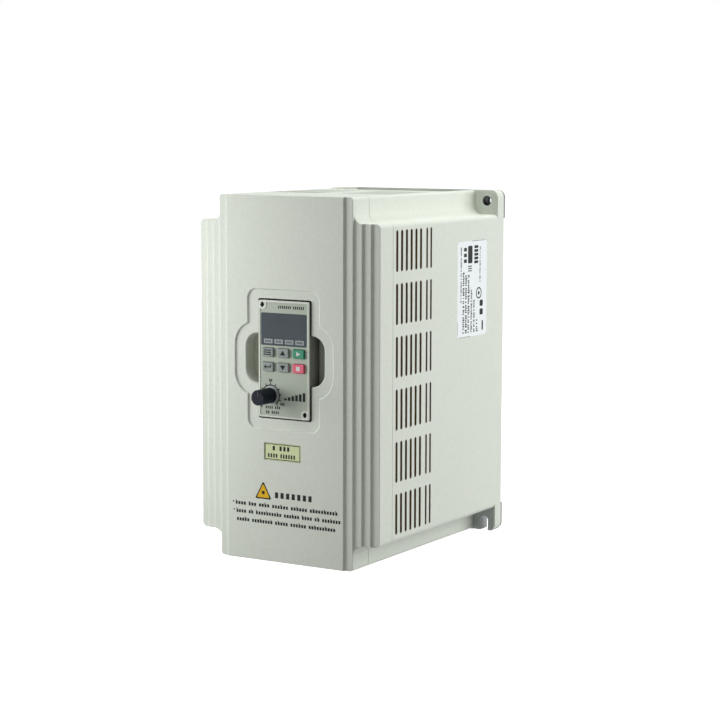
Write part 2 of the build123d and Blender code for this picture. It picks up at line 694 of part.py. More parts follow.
def pad_outline_grown():
    return rounded(0, PAD_Z, PAD_WIDTH + 2 * PAD_GAP + 4, PAD_HEIGHT + 2 * PAD_GAP + 4, 3.6)


def cover_tongue():
    """Locating lip that slips just inside the case walls."""
    outer = case_outline(WALL + FIT)
    inner = case_outline(WALL + FIT + 1.4)
    lip = slab(outer, SEAM_Y - 3, SEAM_Y + 4) - slab(inner, SEAM_Y - 4, SEAM_Y + 5)
    step = slab(case_outline(COVER_WALL - 0.2), SEAM_Y - 3, SEAM_Y) - slab(inner, SEAM_Y - 4, SEAM_Y + 5)
    return lip + step


def frame_recess():
    """Shallow recess with sloped walls around the keypad and the finger gaps."""
    contour = rounded(-0.8, 144.8, 60.8, 100.0, 7.5) + rounded(-0.6, 144.6, 82.8, 53.4, 17.0)
    face = Plane.XZ.offset(-FRONT) * contour
    return extrude(face, amount=-FRAME_DEPTH, taper=40) + extrude(face, amount=1.0)


def make_inset_plate():
    plate = rounded(INSET_X, INSET_Z, INSET_WIDTH - 0.6, INSET_HEIGHT - 0.6, 0.6)
    return slab(plate, FRONT + 0.3, FRONT + 0.8)


# ---- keypad body ----
def key_grid():
    return [(KEY_NAMES[r][c], KEY_X[c], KEY_Z[r]) for r in range(2) for c in range(3)]


def make_keypad_bezel():
    bezel = slab(rounded(0, PAD_Z, PAD_WIDTH, PAD_HEIGHT, 1.2), PAD_FACE, PAD_SPLIT)
    bezel = fillet(bezel.edges().group_by(Axis.Y)[0], 0.5)
    inside = rounded(0, PAD_Z, PAD_WIDTH - 2 * PAD_WALL, PAD_HEIGHT - 2 * PAD_WALL, 0.8)
    bezel -= slab(inside, PLATE_REAR, PAD_SPLIT + 1)
    inner_rim = rounded(0, PAD_Z, PAD_WIDTH - 2 * PAD_RIM, PAD_HEIGHT - 2 * PAD_RIM, 0.8)
    tray = slab(inner_rim, PAD_FACE - 1, PLATE_FRONT)
    for x, z in PAD_SCREWS:
        tray -= rod_y(x, z, PAD_BOSS, PAD_FACE - 2, PLATE_REAR)
        bezel += rod_y(x, z, PAD_BOSS, PAD_FACE + 0.6, PAD_BOARD_Y) & slab(inside, PAD_FACE, PAD_BOARD_Y)
    bezel -= tray
    for x, z in PAD_SCREWS:
        bezel -= rod_y(x, z, 1.9, PAD_FACE - 1, PAD_FACE + 4)
        bezel -= rod_y(x, z, 1.4, PAD_FACE, PAD_BOARD_Y + 1)
    bezel -= slab(rounded(0, WINDOW_Z, WINDOW_WIDTH - 2, WINDOW_HEIGHT - 2, 0.6), PAD_FACE, PLATE_REAR + 1)
    for _, x, z in key_grid():
        hole = rounded(x, z, KEY_WIDTH + 2 * KEY_GAP, KEY_HEIGHT + 2 * KEY_GAP, 0.7)
        bezel -= slab(hole, PAD_FACE, PLATE_REAR + 1)
    bezel -= rod_y(KNOB_X, KNOB_Z, 3.6, PAD_FACE, PLATE_REAR + 1)
    return bezel


def make_keypad_overlay():
    width = PAD_WIDTH - 2 * PAD_RIM - 0.2
    height = PAD_HEIGHT - 2 * PAD_RIM - 0.2
    film = slab(rounded(0, PAD_Z, width, height, 0.7), OVERLAY_FRONT, PLATE_FRONT)
    film -= slab(rounded(0, WINDOW_Z, WINDOW_WIDTH, WINDOW_HEIGHT, 1.0), PAD_FACE, PLATE_REAR)
    for _, x, z in key_grid():
        hole = rounded(x, z, KEY_WIDTH + 2 * KEY_GAP, KEY_HEIGHT + 2 * KEY_GAP, 0.7)
        film -= slab(hole, PAD_FACE, PLATE_REAR)
    for x, z in PAD_SCREWS:
        film -= rod_y(x, z, PAD_BOSS + 0.1, PAD_FACE, PLATE_REAR)
    return film - rod_y(KNOB_X, KNOB_Z, 3.6, PAD_FACE, PLATE_REAR)


def make_display_window():
    wide = rounded(0, WINDOW_Z, WINDOW_WIDTH - 0.1, WINDOW_HEIGHT - 0.1, 0.95)
    narrow = rounded(0, WINDOW_Z, WINDOW_WIDTH - 2.2, WINDOW_HEIGHT - 2.2, 0.5)
    return slab(wide, PAD_FACE + 0.15, PLATE_FRONT) + slab(narrow, PLATE_FRONT, PLATE_REAR)


def make_led_labels():
    return group([
        slab(rounded(-12.9 + 8.75 * i, 158.0, 7.1, 3.1, 0.3), PAD_FACE + 0.02, PAD_FACE + 0.15)
        for i in range(4)
    ])


def make_display_module():
    body = block((-17.0, 17.0), (PLATE_REAR + 0.2, PAD_BOARD_Y), (162, 176.5))
    return fillet(body.edges().group_by(Axis.Y)[0], 0.3)


def make_status_leds():
    leds = []
    for i in range(4):
        x = -12.9 + 8.75 * i
        dome = rod_y(x, 158, 1.5, PLATE_REAR + 0.3, PAD_BOARD_Y)
        leds.append(fillet(dome.edges().group_by(Axis.Y)[0], 1.2))
    return group(leds)


def make_keypad_board():
    board = slab(rounded(0, PAD_Z, 37.0, 77.5, 1.0), PAD_BOARD_Y, PAD_BOARD_Y + BOARD_THICK)
    for x, z in PAD_SCREWS:
        board -= rod_y(x, z, 1.5, PAD_BOARD_Y - 1, PAD_BOARD_Y + 3)
    return board


def make_key_switches():
    switches = []
    for _, x, z in key_grid():
        body = block((x - 3, x + 3), (PAD_BOARD_Y - 2.4, PAD_BOARD_Y), (z - 3, z + 3))
        switches.append(body + rod_y(x, z, 1.7, PAD_BOARD_Y - 3.4, PAD_BOARD_Y - 2))
    return group(switches)


def make_potentiometer():
    body = block((KNOB_X - 5.5, KNOB_X + 5.5), (PLATE_REAR + 0.2, PAD_BOARD_Y), (KNOB_Z - 6, KNOB_Z + 6))
    body = fillet(body.edges().filter_by(Axis.Y), 1.0)
    body += rod_y(KNOB_X, KNOB_Z, 3.4, PAD_FACE - 0.2, PLATE_REAR + 1)
    return body - rod_y(KNOB_X, KNOB_Z, SHAFT_RADIUS + 0.06, PAD_FACE - 1, PAD_BOARD_Y - 1)


def make_knob_shaft():
    return rod_y(KNOB_X, KNOB_Z, SHAFT_RADIUS, PAD_FACE - 10, PAD_BOARD_Y - 1.3)


def make_knob():
    knob = rod_y(KNOB_X, KNOB_Z, KNOB_RADIUS, KNOB_TIP, PAD_FACE - 0.5)
    knob = fillet(knob.edges().group_by(Axis.Y)[0], 0.7)
    for i in range(24):
        angle = math.radians(i * 15 + 7.5)
        x = KNOB_X + (KNOB_RADIUS + 0.12) * math.cos(angle)
        z = KNOB_Z + (KNOB_RADIUS + 0.12) * math.sin(angle)
        knob -= rod_y(x, z, 0.35, KNOB_TIP + 1.5, PAD_FACE + 0.5)
    line_x = (KNOB_X - 0.35, KNOB_X + 0.35)
    knob -= block(line_x, (KNOB_TIP - 1, KNOB_TIP + 0.3), (KNOB_Z + 0.6, KNOB_Z + 6))
    return knob - rod_y(KNOB_X, KNOB_Z, SHAFT_RADIUS, PAD_FACE - 10, PAD_FACE)


def make_keypad_back():
    back = slab(rounded(0, PAD_Z, PAD_WIDTH, PAD_HEIGHT, 1.2), PAD_SPLIT, PAD_REAR)
    back = fillet(back.edges().group_by(Axis.Y)[-1], 0.8)
    inside = rounded(0, PAD_Z, PAD_WIDTH - 2 * PAD_WALL, PAD_HEIGHT - 2 * PAD_WALL, 0.8)
    back -= slab(inside, PAD_SPLIT - 1, PAD_REAR - PAD_WALL)
    for x, z in PAD_SCREWS:
        boss = rod_y(x, z, 2.8, PAD_BOARD_Y + BOARD_THICK, PAD_REAR - 0.5)
        back += boss & slab(inside, PAD_SPLIT, PAD_REAR)
        back -= rod_y(x, z, 1.05, PAD_SPLIT, PAD_REAR - 0.8)
    return back - block((-8.3, 8.3), (PAD_REAR - 3, PAD_REAR + 1), (PAD_Z - 2.8, PAD_Z + 2.8))


def make_keypad_plug():
    return block((-8.0, 8.0), (PAD_BOARD_Y + BOARD_THICK, PAD_REAR + 9), (PAD_Z - 2.4, PAD_Z + 2.4))


def make_keypad_screws():
    head = (PAD_FACE + 2.2, PAD_FACE + 4)
    return group([screw_y(x, z, 1.7, head, 1.0, PAD_REAR - 2) for x, z in PAD_SCREWS])


def make_key(x, z):
    front = PAD_FACE + 0.3 - KEY_PROUD
    cap = slab(rounded(x, z, KEY_WIDTH, KEY_HEIGHT, 0.6), front, PAD_FACE + 3.0)
    cap = fillet(cap.edges().group_by(Axis.Y)[0], 0.45)
    cap += slab(rounded(x, z, KEY_WIDTH + 1.8, KEY_HEIGHT + 1.8, 0.6), PLATE_REAR + 0.15, PAD_FACE + 3.0)
    return cap + rod_y(x, z, 1.5, PAD_FACE + 2.5, PAD_BOARD_Y - 3.4 - KEY_TRAVEL - 0.05)


def main():
    os.makedirs("parts", exist_ok=True)
    makers = {
        "housing": make_housing,
        "heatsink": make_heatsink,
        "fan_frames": make_fan_frames,
        "fan_guards": make_fan_guards,
        "fan_screws": make_fan_screws,
        "bottom_plate": make_bottom_plate,
        "cable_grommets": make_grommets,
        "side_label": make_side_label,
        "housing_screws": make_housing_screws,
        "power_module": make_power_module,
        "rectifier_module": make_rectifier_module,
        "thermal_pads": make_thermal_pads,
        "module_screws": make_module_screws,
        "board_standoffs": make_standoffs,
        "power_board": make_power_board,
        "power_board_screws": make_board_screws,
        "bus_capacitors": make_bus_capacitors,
        "charge_relay": make_relay,
        "filter_choke": make_filter_choke,
        "film_capacitors": make_film_capacitors,
        "varistors": make_varistors,
        "supply_transformer": make_transformer,
        "current_sensors": make_current_sensors,
        "power_terminals": make_power_terminals,
        "power_terminal_screws": make_power_terminal_screws,
        "board_tray": make_board_tray,
        "control_board": make_control_board,
        "control_board_screws": make_control_screws,
        "control_chips": make_control_chips,
        "control_terminals": make_control_terminals,
        "control_terminal_screws": make_control_terminal_screws,
        "keypad_socket": make_keypad_socket,
        "ribbon_cable": make_ribbon_cable,
        "front_cover": make_front_cover,
        "inset_plate": make_inset_plate,
        "keypad_bezel": make_keypad_bezel,
        "keypad_overlay": make_keypad_overlay,
        "display_window": make_display_window,
        "led_labels": make_led_labels,
        "display_module": make_display_module,
        "status_leds": make_status_leds,
        "keypad_board": make_keypad_board,
        "key_switches": make_key_switches,
        "potentiometer": make_potentiometer,
        "keypad_back": make_keypad_back,
        "keypad_plug": make_keypad_plug,
        "keypad_screws": make_keypad_screws,
        "knob": make_knob,
        "knob_shaft": make_knob_shaft,
        "fan_impeller_left": lambda: make_impeller(-FAN_X),
        "fan_impeller_right": lambda: make_impeller(FAN_X),
    }
    for name, x, z in key_grid():
        makers[name] = lambda x=x, z=z: make_key(x, z)
    for name, maker in makers.items():
        export_step(maker(), f"parts/{name}.step")


main()
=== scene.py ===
import json
import math
import random

import bmesh
import bpy
from mathutils import Matrix, Vector

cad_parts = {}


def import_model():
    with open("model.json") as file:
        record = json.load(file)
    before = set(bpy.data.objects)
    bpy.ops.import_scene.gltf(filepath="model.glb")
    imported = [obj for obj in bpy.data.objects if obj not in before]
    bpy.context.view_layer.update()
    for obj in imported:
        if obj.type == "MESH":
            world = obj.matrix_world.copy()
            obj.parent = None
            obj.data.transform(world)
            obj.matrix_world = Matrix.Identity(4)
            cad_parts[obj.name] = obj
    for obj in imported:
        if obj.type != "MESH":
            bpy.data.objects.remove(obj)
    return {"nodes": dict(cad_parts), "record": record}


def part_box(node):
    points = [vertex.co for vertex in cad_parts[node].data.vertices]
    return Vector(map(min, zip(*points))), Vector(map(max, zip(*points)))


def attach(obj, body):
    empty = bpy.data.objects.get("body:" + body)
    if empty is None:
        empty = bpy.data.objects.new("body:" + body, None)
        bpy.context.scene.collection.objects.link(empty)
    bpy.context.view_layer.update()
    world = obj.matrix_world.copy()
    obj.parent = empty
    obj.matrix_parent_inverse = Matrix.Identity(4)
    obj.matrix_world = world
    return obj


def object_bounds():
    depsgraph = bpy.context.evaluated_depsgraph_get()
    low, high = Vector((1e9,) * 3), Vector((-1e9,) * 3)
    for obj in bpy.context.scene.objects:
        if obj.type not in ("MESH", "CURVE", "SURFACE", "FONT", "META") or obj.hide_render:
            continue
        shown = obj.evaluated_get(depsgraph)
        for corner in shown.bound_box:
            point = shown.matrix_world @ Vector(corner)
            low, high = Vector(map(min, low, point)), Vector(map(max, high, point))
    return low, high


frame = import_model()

# A wall-mounted variable frequency drive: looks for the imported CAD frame. +Z is up and +Y is
# towards the wall, so the front panel and its keypad face -Y. Sizes are in metres, but print
# outlines are in millimetres until they are placed.

cad_low, cad_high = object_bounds()
MM = 0.001
PANEL_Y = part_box("front_cover")[0].y
SIDE_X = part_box("housing")[1].x
PAD_LOW, PAD_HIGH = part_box("keypad_bezel")
KNOB_LOW, KNOB_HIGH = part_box("knob")
KNOB_X = (KNOB_LOW.x + KNOB_HIGH.x) / 2
KNOB_Z = (KNOB_LOW.z + KNOB_HIGH.z) / 2
WALL_HOLE_X = 0.0656
WALL_HOLE_Z = 0.25225
FLANGE_Y = 0.0919
# The upper wall holes' bores get a painted shade out to this radius.
WALL_HOLE_RADIUS = 0.0036    # a little over the bore, so that its whole wall is dark
FINGER_GAP_X = 0.0345
KEYPAD_SCREWS = {"top": (-17.7, 183.6), "bottom": (17.7, 107.4)}    # millimetres, X and Z
INK = 0.00006
SHELL = (0.742, 0.785, 0.700)
# Painted shade for the gap round the keypad, near black.
GAP_PAINTED_SHADE = (0.04, 0.04, 0.036)
# Painted shade for the inner walls of the side vent slots, a brownish dark.
SLOT_PAINTED_SHADE = (0.21, 0.145, 0.062)
FLOOR_RADIUS = 60.0
FLOOR_GLOW = 0.9
WORLD_SHOWN = 1.0
WORLD_LIGHT = 0.22


# ---------------------------------------------------------------- materials
def new_material(name):
    made = bpy.data.materials.new(name)
    made.use_nodes = True
    nodes = made.node_tree.nodes
    return made, nodes, made.node_tree.links, nodes["Principled BSDF"]


def mapped(nodes, links, stretch=(1, 1, 1)):
    """Object coordinates, stretched along the axes."""
    place = nodes.new("ShaderNodeTexCoord")
    scale = nodes.new("ShaderNodeMapping")
    scale.inputs["Scale"].default_value = stretch
    links.new(place.outputs["Object"], scale.inputs["Vector"])
    return scale.outputs["Vector"]


def axes_of(nodes, links, source):
    """X, Y and Z of a texture coordinate."""
    place = nodes.new("ShaderNodeTexCoord")
    split = nodes.new("ShaderNodeSeparateXYZ")
    links.new(place.outputs[source], split.inputs["Vector"])
    return split.outputs


def noise(nodes, links, vector, scale, detail=3.0):
    made = nodes.new("ShaderNodeTexNoise")
    made.inputs["Scale"].default_value = scale
    made.inputs["Detail"].default_value = detail
    links.new(vector, made.inputs["Vector"])
    return made.outputs["Fac"]


def ramp(nodes, links, value, stops):
    """Colour ramp; stops are (position, colour)."""
    made = nodes.new("ShaderNodeValToRGB")
    elements = made.color_ramp.elements
    while len(elements) < len(stops):
        elements.new(0.5)
    for element, (position, colour) in zip(elements, stops):
        element.position = position
        element.color = (*colour, 1.0)
    links.new(value, made.inputs["Fac"])
    return made.outputs["Color"]


def spread(nodes, links, value, low, high, start=0.0, end=1.0):
    made = nodes.new("ShaderNodeMapRange")
    made.inputs["From Min"].default_value = start
    made.inputs["From Max"].default_value = end
    made.inputs["To Min"].default_value = low
    made.inputs["To Max"].default_value = high
    links.new(value, made.inputs["Value"])
    return made.outputs["Result"]


def bumped(nodes, links, height, distance, strength=1.0, under=None):
    made = nodes.new("ShaderNodeBump")
    made.inputs["Distance"].default_value = distance
    made.inputs["Strength"].default_value = strength
    links.new(height, made.inputs["Height"])
    if under is not None:
        links.new(under, made.inputs["Normal"])
    return made.outputs["Normal"]


def steep(nodes, links):
    """1 on walls that stand upright, 0 on level faces."""
    tilt = math_node(nodes, links, "ABSOLUTE", axes_of(nodes, links, "Normal")["Z"])
    return math_node(nodes, links, "LESS_THAN", tilt, 0.7)


def math_node(nodes, links, operation, first, second=None):
    made = nodes.new("ShaderNodeMath")
    made.operation = operation
    for socket, value in zip(made.inputs, (first, second)):
        if isinstance(value, (int, float)):
            socket.default_value = value
        elif value is not None:
            links.new(value, socket)
    return made.outputs["Value"]


def in_box(nodes, links, x, y, z, both_sides=True):
    """1 inside a box given by its ends on x, y and z (None: no limit on that axis), else 0."""
    axes = axes_of(nodes, links, "Object")
    mask = None
    for axis, ends in zip("XYZ", (x, y, z)):
        if ends is None:
            continue
        value = axes[axis]
        if axis == "X" and both_sides:
            value = math_node(nodes, links, "ABSOLUTE", value)
        above = math_node(nodes, links, "GREATER_THAN", value, ends[0])
        below = math_node(nodes, links, "LESS_THAN", value, ends[1])
        both = math_node(nodes, links, "MULTIPLY", above, below)
        mask = both if mask is None else math_node(nodes, links, "MULTIPLY", mask, both)
    return mask


def near_wall_hole(nodes, links):
    """1 inside either upper wall hole, else 0."""
    axes = axes_of(nodes, links, "Object")
    across = math_node(nodes, links, "ABSOLUTE", axes["X"])
    across = math_node(nodes, links, "SUBTRACT", across, WALL_HOLE_X)
    across = math_node(nodes, links, "POWER", across, 2.0)
    up = math_node(nodes, links, "SUBTRACT", axes["Z"], WALL_HOLE_Z)
    up = math_node(nodes, links, "POWER", up, 2.0)
    total = math_node(nodes, links, "ADD", across, up)
    return math_node(nodes, links, "LESS_THAN", total, WALL_HOLE_RADIUS * WALL_HOLE_RADIUS)


def blended(nodes, links, factor, first, second, mode="MIX"):
    """Mix two colours; each is a socket or a constant."""
    made = nodes.new("ShaderNodeMix")
    made.data_type = "RGBA"
    made.blend_type = mode
    if isinstance(factor, float):
        made.inputs["Factor"].default_value = factor
    else:
        links.new(factor, made.inputs["Factor"])
    for socket, value in ((made.inputs[6], first), (made.inputs[7], second)):
        if isinstance(value, tuple):
            socket.default_value = (*value, 1.0)
        else:
            links.new(value, socket)
    return made.outputs[2]


def tinted(colour, factor):
    """A colour made darker or lighter."""
    return tuple(min(1.0, c * factor) for c in colour)


def surface(name, colour, roughness, grain=2500.0, bump=0.00002, vary=0.05, metal=0.0,
            patches=25.0, coat=0.0, specular=0.5, shade=()):
    """Plain moulded, painted or metal surface: tone drifts, fine grain and uneven gloss.
    shade lists (box, colour) pairs: recesses where the colour is swapped for a painted shade."""
    made, nodes, links, shader = new_material(name)
    vector = mapped(nodes, links)
    drift = noise(nodes, links, vector, patches)
    stops = [(0.25, tinted(colour, 1 - vary)), (0.75, tinted(colour, 1 + vary))]
    base = ramp(nodes, links, drift, stops)
    for box, dull in shade:
        base = blended(nodes, links, in_box(nodes, links, *box), base, dull)
    links.new(base, shader.inputs["Base Color"])
    fine = noise(nodes, links, vector, grain, 2.0)
    links.new(bumped(nodes, links, fine, bump), shader.inputs["Normal"])
    gloss = noise(nodes, links, vector, patches * 4)
    low, high = roughness * 0.88, min(1.0, roughness * 1.12)
    links.new(spread(nodes, links, gloss, low, high), shader.inputs["Roughness"])
    shader.inputs["Metallic"].default_value = metal
    shader.inputs["Coat Weight"].default_value = coat
    shader.inputs["Specular IOR Level"].default_value = specular
    return made


def moulded_shell(name, shade=()):
    """Spark-eroded case plastic: pebbled grain, faint flow marks, patches dulled by handling."""
    made, nodes, links, shader = new_material(name)
    vector = mapped(nodes, links)
    drift = noise(nodes, links, vector, 9.0, 4.0)
    base = ramp(nodes, links, drift, [(0.3, tinted(SHELL, 0.975)), (0.7, tinted(SHELL, 1.02))])
    speck = noise(nodes, links, vector, 420.0)
    fleck = ramp(nodes, links, speck, [(0.42, (0.95, 0.95, 0.95)), (0.6, (1.0, 1.0, 1.0))])
    base = blended(nodes, links, 0.6, base, fleck, "MULTIPLY")
    # Painted shade: each box's colour stands in for shadow in a recess.
    for box, dull in shade:
        base = blended(nodes, links, in_box(nodes, links, *box), base, dull)
    # Painted shade on the walls of the first rows of top slots at the front left.
    front_left_slots = in_box(nodes, links, (-0.054, -0.006), (-0.03, -0.011), (0.25, 0.3), False)
    slot_wall_shade = math_node(nodes, links, "MULTIPLY", front_left_slots, steep(nodes, links))
    base = blended(nodes, links, slot_wall_shade, base, (0.09, 0.075, 0.04))
    links.new(base, shader.inputs["Base Color"])
    pebble = nodes.new("ShaderNodeTexVoronoi")
    pebble.inputs["Scale"].default_value = 1500.0
    links.new(vector, pebble.inputs["Vector"])
    grain = bumped(nodes, links, pebble.outputs["Distance"], 0.00004, 0.4)
    wave = noise(nodes, links, vector, 60.0, 2.0)
    links.new(bumped(nodes, links, wave, 0.00005, 0.4, grain), shader.inputs["Normal"])
    links.new(spread(nodes, links, drift, 0.46, 0.6), shader.inputs["Roughness"])
    shader.inputs["Specular IOR Level"].default_value = 0.4
    return made


def extruded_aluminium(name):
    """Satin extrusion: die lines along Z and slightly oxidised patches."""
    made, nodes, links, shader = new_material(name)
    streak = noise(nodes, links, mapped(nodes, links, (1, 1, 0.02)), 1800.0, 4.0)
    patch = noise(nodes, links, mapped(nodes, links), 35.0, 4.0)
    tone = ramp(nodes, links, patch, [(0.3, (0.25, 0.27, 0.265)), (0.7, (0.36, 0.38, 0.375))])
    # Painted shade inside the upper wall holes: their bores go near black.
    inside_hole = near_wall_hole(nodes, links)
    tone = blended(nodes, links, inside_hole, tone, (0.02, 0.02, 0.018))
    plate_edge = in_box(nodes, links, (SIDE_X - 0.0008, SIDE_X + 0.001), None, None)
    tone = blended(nodes, links, plate_edge, tone, (0.12, 0.13, 0.12))
    links.new(tone, shader.inputs["Base Color"])
    links.new(bumped(nodes, links, streak, 0.00003, 0.8), shader.inputs["Normal"])
    links.new(spread(nodes, links, streak, 0.42, 0.6), shader.inputs["Roughness"])
    shader.inputs["Metallic"].default_value = 0.55
    return made


def circuit_board(name):
    """Green solder mask over darker tracks, with tinned pads."""
    made, nodes, links, shader = new_material(name)
    vector = mapped(nodes, links)
    cells = nodes.new("ShaderNodeTexVoronoi")
    cells.distance = "MANHATTAN"
    cells.inputs["Scale"].default_value = 260.0
    links.new(vector, cells.inputs["Vector"])
    tracks = ramp(nodes, links, cells.outputs["Distance"], [
        (0.0, (0.45, 0.44, 0.40)), (0.05, (0.05, 0.26, 0.12)),
        (0.35, (0.02, 0.17, 0.07)), (0.6, (0.03, 0.22, 0.10)),
    ])
    links.new(tracks, shader.inputs["Base Color"])
    height = bumped(nodes, links, cells.outputs["Distance"], 0.00005, 0.6)
    links.new(height, shader.inputs["Normal"])
    patch = noise(nodes, links, vector, 70.0)
    links.new(spread(nodes, links, patch, 0.3, 0.45), shader.inputs["Roughness"])
    return made


def banded(name, dark, light, scale, distortion, depth, roughness):
    """Parallel bands: wire turns round a core, or the conductors of a flat cable."""
    made, nodes, links, shader = new_material(name)
    vector = mapped(nodes, links)
    bands = nodes.new("ShaderNodeTexWave")
    bands.inputs["Scale"].default_value = scale
    bands.inputs["Distortion"].default_value = distortion
    links.new(vector, bands.inputs["Vector"])
    tone = ramp(nodes, links, bands.outputs["Fac"], [(0.1, dark), (0.6, light)])
    links.new(tone, shader.inputs["Base Color"])
    links.new(bumped(nodes, links, bands.outputs["Fac"], depth, 0.8), shader.inputs["Normal"])
    gloss = noise(nodes, links, vector, 150.0)
    links.new(spread(nodes, links, gloss, roughness, roughness + 0.15), shader.inputs["Roughness"])
    return made


def printed(name, colour, roughness=0.5):
    """Printed ink or film: slightly uneven coverage."""
    return surface(name, colour, roughness, 4000.0, 0.000006, 0.06, patches=220.0, specular=0.12)


def shell_shades():
    """Painted shade on the slot walls and in the screw sleeves of the case."""
    slots = ((0.0705, SIDE_X - 0.00015), (-0.0635, 0.0), (0.0220, 0.2390))
    reach = 0.004
    # Painted shade inside the screw sleeves behind the upper wall holes.
    sleeves = (
        (WALL_HOLE_X - reach, WALL_HOLE_X + reach),
        (FLANGE_Y + 0.0009, 0.11),
        (WALL_HOLE_Z - reach, WALL_HOLE_Z + reach),
    )
    return [(slots, SLOT_PAINTED_SHADE), (sleeves, (0.03, 0.03, 0.025))]


def cover_shades():
    """Painted shade: the gap round the keypad is near black, and the finger gaps' walls and beds
    are darkened.
    """
    gap_x = PAD_HIGH.x + 0.0012
    height = (PAD_LOW.z - 0.0014, PAD_HIGH.z + 0.0014)
    back = PANEL_Y + 0.03
    gap = ((-gap_x, gap_x), (PANEL_Y + 0.0013, back), height, False)
    left_bed = ((-FINGER_GAP_X, -gap_x), (PANEL_Y + 0.0108, back), height, False)
    right = ((gap_x, FINGER_GAP_X), (PANEL_Y + 0.0024, back), height, False)
    return [
        (gap, GAP_PAINTED_SHADE),
        (left_bed, (0.66, 0.65, 0.56)),
        (right, (0.42, 0.44, 0.38)),
    ]


def pad_shades():
    """Painted shade on the bezel's sides: dark where the gap round it hides them, less dark where
    a finger gap bares them.
    """
    depth = (PAD_LOW.y + 0.0010, PAD_LOW.y + 0.03)
    middle = (PAD_LOW.z + PAD_HIGH.z) / 2
    side = (None, depth, None)
    bare = (None, depth, (middle - 0.0178, middle + 0.0176))
    return [(side, (0.10, 0.105, 0.095)), (bare, (0.27, 0.285, 0.25))]


def case_materials():
    """Finishes of the case, cover, heatsink and fans."""
    return {
        "housing_plastic": moulded_shell("case_plastic", shell_shades()),
        "cover_plastic": moulded_shell("cover_plastic", cover_shades()),
        "label_white": surface("label_white", (0.89, 0.95, 0.96), 0.32, 3500.0, 0.00001, 0.02,
                               coat=0.2),
        "inset_label": surface("inset_label", (0.66, 0.73, 0.40), 0.35, 3500.0, 0.00001, 0.03,
                               coat=0.2),
        "heatsink_aluminium": extruded_aluminium("heatsink_aluminium"),
        "fan_plastic": surface("fan_plastic", (0.018, 0.018, 0.02), 0.42, 2000.0, 0.00003, 0.2),
        "guard_chrome": surface("guard_chrome", (0.72, 0.73, 0.74), 0.16, 1500.0, 0.00001, 0.05,
                                metal=1.0),
        "screw_steel": surface("screw_steel", (0.62, 0.61, 0.56), 0.3, 1200.0, 0.00003, 0.12,
                               metal=0.95, patches=180.0),
        "plate_steel": surface("plate_steel", (0.58, 0.58, 0.54), 0.36, 900.0, 0.00002, 0.1,
                               metal=0.95, patches=180.0),
        "grommet_rubber": surface("grommet_rubber", (0.02, 0.02, 0.02), 0.7, 1800.0, 0.00006,
                                  0.25),
    }


def keypad_materials():
    """Finishes of the keypad and of all print."""
    return {
        "keypad_plastic": surface("keypad_plastic", (0.74, 0.78, 0.69), 0.42, vary=0.02,
                                  shade=pad_shades()),
        # Painted shade: the keypad's rear part, deep in its pocket, is dark grey in place of the
        # keypad plastic.
        "keypad_rear_shade": surface("keypad_rear_shade", (0.22, 0.225, 0.20), 0.5),
        "overlay_film": surface("overlay_film", (0.50, 0.555, 0.465), 0.38, 3200.0, 0.000012,
                                0.02, specular=0.25),
        "key_grey": surface("key_grey", (0.26, 0.31, 0.29), 0.45, vary=0.04, patches=160.0),
        "key_green": surface("key_green", (0.015, 0.25, 0.14), 0.4, vary=0.05, patches=160.0),
        "key_red": surface("key_red", (0.80, 0.12, 0.19), 0.4, vary=0.05, patches=160.0),
        "knob_black": surface("knob_black", (0.006, 0.009, 0.018), 0.42, 3000.0, 0.00003, 0.2,
                              patches=150.0, specular=0.15),
        "display_lens": surface("display_lens", (0.066, 0.084, 0.098), 0.16, 140.0, 0.00001, 0.12,
                                patches=60.0, specular=0.3),
        "label_light": printed("label_light", (0.42, 0.46, 0.47), 0.4),
        "display_black": surface("display_black", (0.03, 0.03, 0.035), 0.35, vary=0.1),
        "led_clear": surface("led_clear", (0.55, 0.06, 0.04), 0.15, vary=0.1, coat=0.5),
        "pad_screw": surface("pad_screw", (0.05, 0.045, 0.04), 0.4, 900.0, 0.00004, 0.2,
                             metal=0.6),
        "pot_body": surface("pot_body", (0.45, 0.45, 0.44), 0.32, metal=0.8, vary=0.08),
        "ink_dark": printed("ink_dark", (0.012, 0.014, 0.013)),
        # Soft ink for lamp label print, also used as painted shadow along the side label's edges.
        "soft_ink_and_edge_shadow": printed("soft_ink_and_edge_shadow", (0.06, 0.065, 0.07)),
        # White ink for key symbols, also used as painted highlights on screw and wall holes.
        "white_ink_and_highlight": printed("white_ink_and_highlight", (0.78, 0.82, 0.80)),
        "pointer_grey": printed("pointer_grey", (0.17, 0.18, 0.19)),
        "ink_pale": printed("ink_pale", (0.55, 0.60, 0.58), 0.4),
        "sign_yellow": printed("sign_yellow", (0.85, 0.50, 0.02), 0.4),
    }


